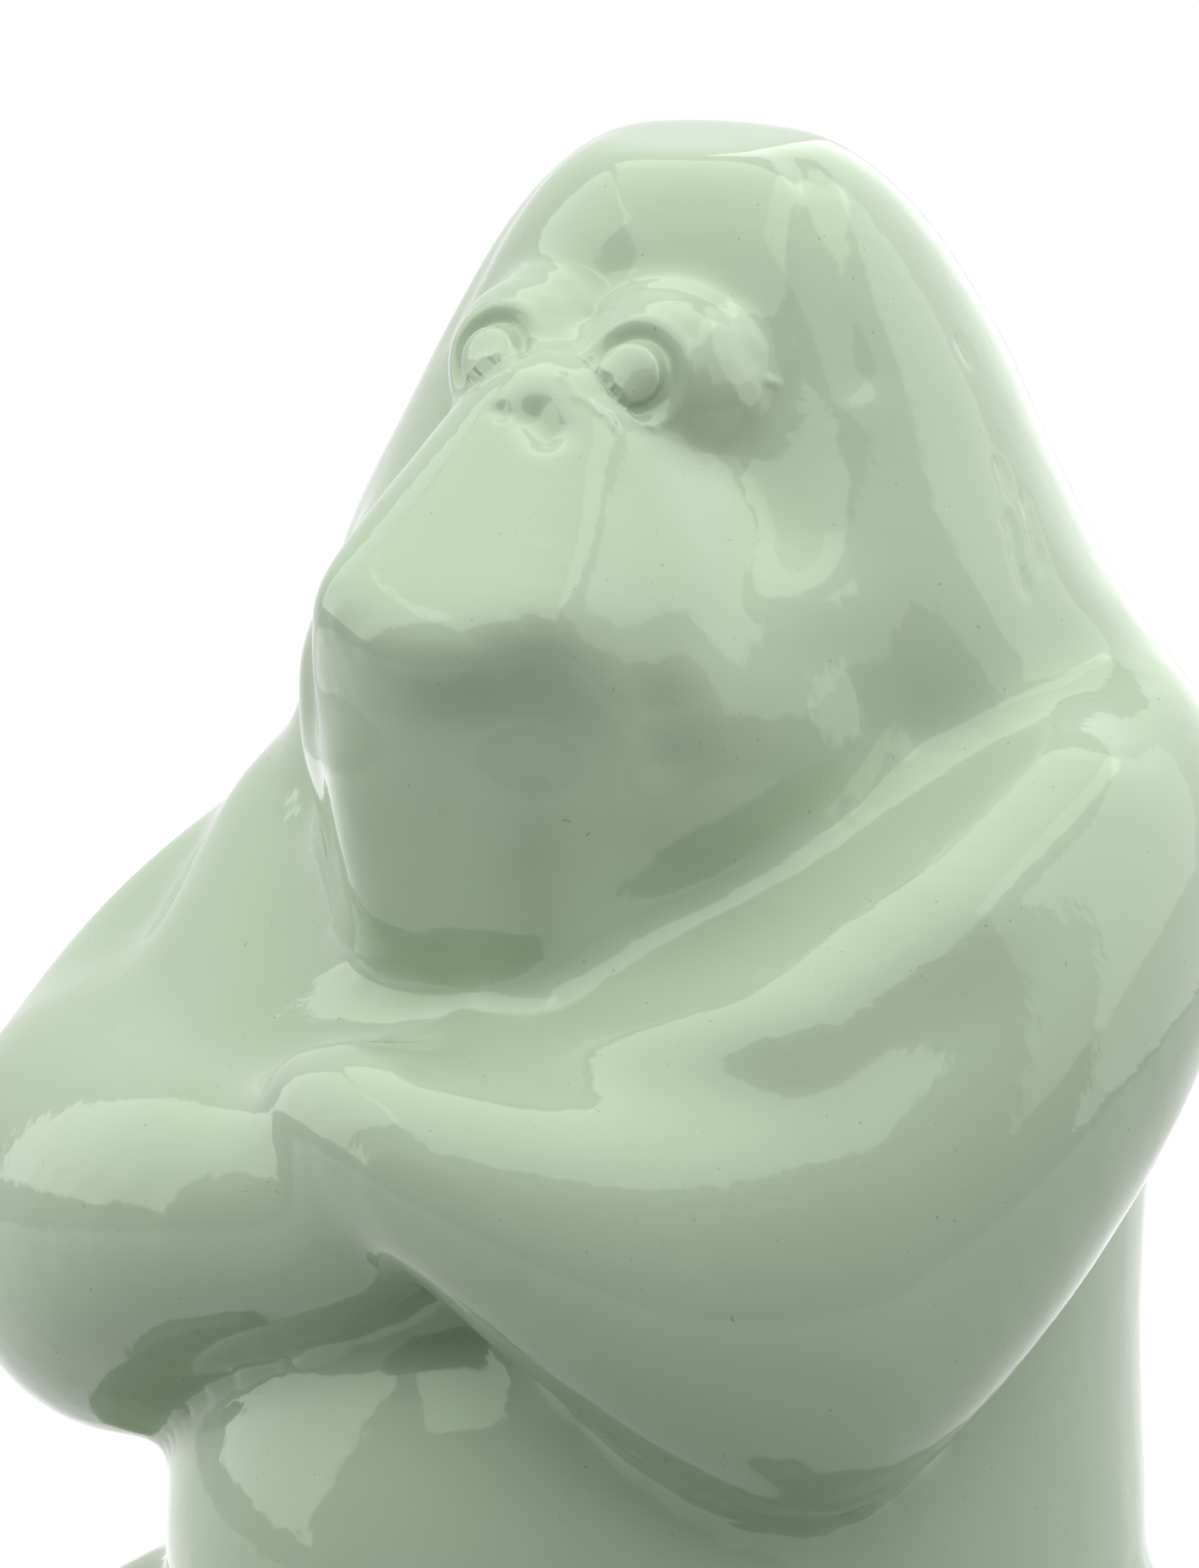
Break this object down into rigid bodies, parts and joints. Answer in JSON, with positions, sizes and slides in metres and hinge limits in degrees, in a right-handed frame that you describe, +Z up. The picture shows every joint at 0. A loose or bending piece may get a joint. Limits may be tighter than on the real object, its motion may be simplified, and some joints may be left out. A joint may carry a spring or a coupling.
{
  "type": "monkey figurine",
  "caption": "Seated ceramic ape with folded arms, bulging eyes and a long flat muzzle; hollow glazed castings stand on a flat unglazed base.",
  "frame": {"origin": "on the floor, at the middle of the base disc, under the middle of the torso", "axes": "+Z up, the figure faces -Y, its left arm is towards +X"},
  "size_m": [0.1456, 0.1312, 0.2051],
  "materials": {
    "glaze": "glossy pale mint-green glaze",
    "bisque": "bare fired earthenware"
  },
  "bodies": {
    "root": {"torso_casting": "glaze", "head_casting": "glaze", "jaw": "glaze", "muzzle": "glaze", "left_eyeball": "glaze", "right_eyeball": "glaze", "left_eyelid": "glaze", "right_eyelid": "glaze", "left_pupil": "glaze", "right_pupil": "glaze", "left_arm": "glaze", "right_arm": "glaze", "left_leg": "glaze", "right_leg": "glaze", "left_foot": "glaze", "right_foot": "glaze", "base_disc": "bisque"}
  },
  "joints": []
}
